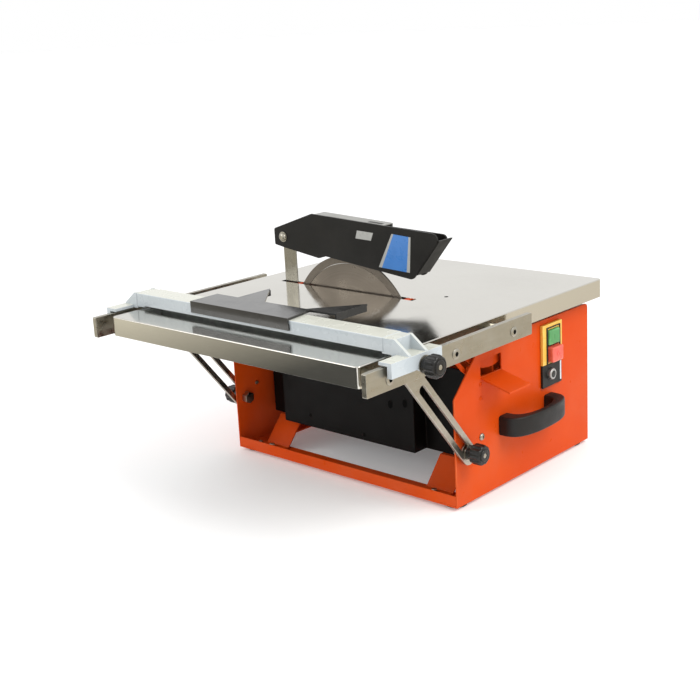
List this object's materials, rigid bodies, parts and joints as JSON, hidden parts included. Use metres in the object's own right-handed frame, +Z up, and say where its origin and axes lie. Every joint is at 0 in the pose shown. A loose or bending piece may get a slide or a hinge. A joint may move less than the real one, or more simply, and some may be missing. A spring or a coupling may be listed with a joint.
{
  "type": "tile cutter",
  "caption": "Bench tile saw: stainless table tilting on a folded sheet base, blade with guard and riving knife, sliding fence with mitre stop, water tank and push-button switch.",
  "frame": {"origin": "on the floor under the middle of the whole machine", "axes": "+Z up, +X to the operator and switch side and along the cut, -Y to the open side with the fence"},
  "size_m": [0.498, 0.472, 0.3135],
  "materials": {
    "orange_paint": "satin powder coat",
    "stainless": "bright, finely brushed",
    "zinc_steel": "zinc plated",
    "blue_grey_paint": "smooth paint",
    "black_paint": "satin",
    "black_plastic": "moulded",
    "rubber": "matt",
    "yellow_plastic": "moulded",
    "green_plastic": "moulded",
    "red_plastic": "moulded",
    "grey_paint": "satin",
    "cast_aluminium": "cast",
    "motor_paint": "satin",
    "blade_steel": "ground"
  },
  "bodies": {
    "base": {"side_panel_right": "orange_paint", "tank_runner_right": "orange_paint", "carry_handle_right": "black_plastic", "clamp_stud_right": "zinc_steel", "foot_front_right": "rubber", "foot_rear_right": "rubber", "side_panel_left": "orange_paint", "tank_runner_left": "orange_paint", "carry_handle_left": "black_plastic", "clamp_stud_left": "zinc_steel", "foot_front_left": "rubber", "foot_rear_left": "rubber", "front_rail": "orange_paint", "rear_panel": "orange_paint", "water_tank": "black_plastic", "switch_box": "black_plastic", "switch_frame": "yellow_plastic", "switch_plate": "black_plastic", "cord_gland": "black_plastic", "motor_bracket": "orange_paint", "motor_front_flange": "cast_aluminium", "motor_body": "motor_paint", "motor_fan_cover": "black_plastic", "capacitor_box": "black_plastic", "riving_knife": "stainless", "knife_bracket": "zinc_steel", "guard_bolt": "zinc_steel"},
    "table": {"table_top": "stainless", "fence_rail_right": "zinc_steel", "fence_rail_left": "zinc_steel", "rail_bolt_right_1": "zinc_steel", "rail_bolt_right_2": "zinc_steel", "rail_bolt_right_3": "zinc_steel", "rail_bolt_left_1": "zinc_steel", "rail_bolt_left_2": "zinc_steel", "rail_bolt_left_3": "zinc_steel", "trunnion_right": "zinc_steel", "trunnion_left": "zinc_steel", "stay_pin_right": "zinc_steel", "stay_pin_left": "zinc_steel"},
    "stay_right": {"stay_right": "zinc_steel"},
    "stay_left": {"stay_left": "zinc_steel"},
    "clamp_knob_right": {"clamp_knob_right": "black_plastic"},
    "clamp_knob_left": {"clamp_knob_left": "black_plastic"},
    "blade_unit": {"diamond_blade": "blade_steel", "inner_flange": "zinc_steel", "outer_flange": "zinc_steel", "arbor_nut": "zinc_steel", "arbor_shaft": "zinc_steel"},
    "guard": {"guard_shell": "black_paint", "guard_channel": "grey_paint"},
    "fence": {"fence": "blue_grey_paint"},
    "fence_knob_right": {"fence_knob_right": "black_plastic"},
    "fence_knob_left": {"fence_knob_left": "black_plastic"},
    "mitre_stop": {"mitre_stop": "black_paint"},
    "button_green": {"button_green": "green_plastic"},
    "button_red": {"button_red": "red_plastic"},
    "button_reset": {"button_reset": "cast_aluminium"}
  },
  "joints": [
    {"name": "table_tilt", "type": "hinge", "parent": "base", "child": "table", "pos_m": [0, 0.026, 0.218], "axis": [1, 0, 0], "range_deg": [0, 45]},
    {"name": "stay_right_swing", "type": "hinge", "parent": "table", "child": "stay_right", "pos_m": [0.187, -0.1426, 0.1982], "axis": [1, 0, 0], "range_deg": [-17, 1]},
    {"name": "clamp_knob_right_turn", "type": "hinge", "parent": "base", "child": "clamp_knob_right", "pos_m": [0.2, -0.0361, 0.0693], "axis": [1, 0, 0], "range_deg": [0, 360]},
    {"name": "stay_left_swing", "type": "hinge", "parent": "table", "child": "stay_left", "pos_m": [-0.187, -0.1426, 0.1982], "axis": [1, 0, 0], "range_deg": [-17, 1]},
    {"name": "clamp_knob_left_turn", "type": "hinge", "parent": "base", "child": "clamp_knob_left", "pos_m": [-0.2, -0.0361, 0.0693], "axis": [-1, 0, 0], "range_deg": [0, 360]},
    {"name": "blade_spin", "type": "hinge", "parent": "base", "child": "blade_unit", "pos_m": [-0.038, 0.026, 0.162], "axis": [0, 1, 0], "continuous": true},
    {"name": "guard_lift", "type": "hinge", "parent": "base", "child": "guard", "pos_m": [-0.14, 0.026, 0.28], "axis": [0, -1, 0], "range_deg": [0, 40]},
    {"name": "fence_slide", "type": "slide", "parent": "table", "child": "fence", "axis": [0, 1, 0], "range_m": [-0.02, 0.09]},
    {"name": "fence_knob_right_turn", "type": "hinge", "parent": "fence", "child": "fence_knob_right", "pos_m": [0.235, -0.157, 0.209], "axis": [1, 0, 0], "range_deg": [0, 360]},
    {"name": "fence_knob_left_turn", "type": "hinge", "parent": "fence", "child": "fence_knob_left", "pos_m": [-0.235, -0.157, 0.209], "axis": [-1, 0, 0], "range_deg": [0, 360]},
    {"name": "mitre_stop_slide", "type": "slide", "parent": "fence", "child": "mitre_stop", "axis": [1, 0, 0], "range_m": [-0.08, 0.08]},
    {"name": "button_green_press", "type": "slide", "parent": "base", "child": "button_green", "axis": [-1, 0, 0], "range_m": [0, 0.003], "stiffness_N_per_m": 600},
    {"name": "button_red_press", "type": "slide", "parent": "base", "child": "button_red", "axis": [-1, 0, 0], "range_m": [0, 0.003], "stiffness_N_per_m": 600},
    {"name": "button_reset_press", "type": "slide", "parent": "base", "child": "button_reset", "axis": [-1, 0, 0], "range_m": [0, 0.003], "stiffness_N_per_m": 600}
  ],
  "couplings": [
    {"joint": "stay_right_swing", "follows": "table_tilt", "ratio": -0.353},
    {"joint": "stay_left_swing", "follows": "table_tilt", "ratio": -0.353}
  ]
}
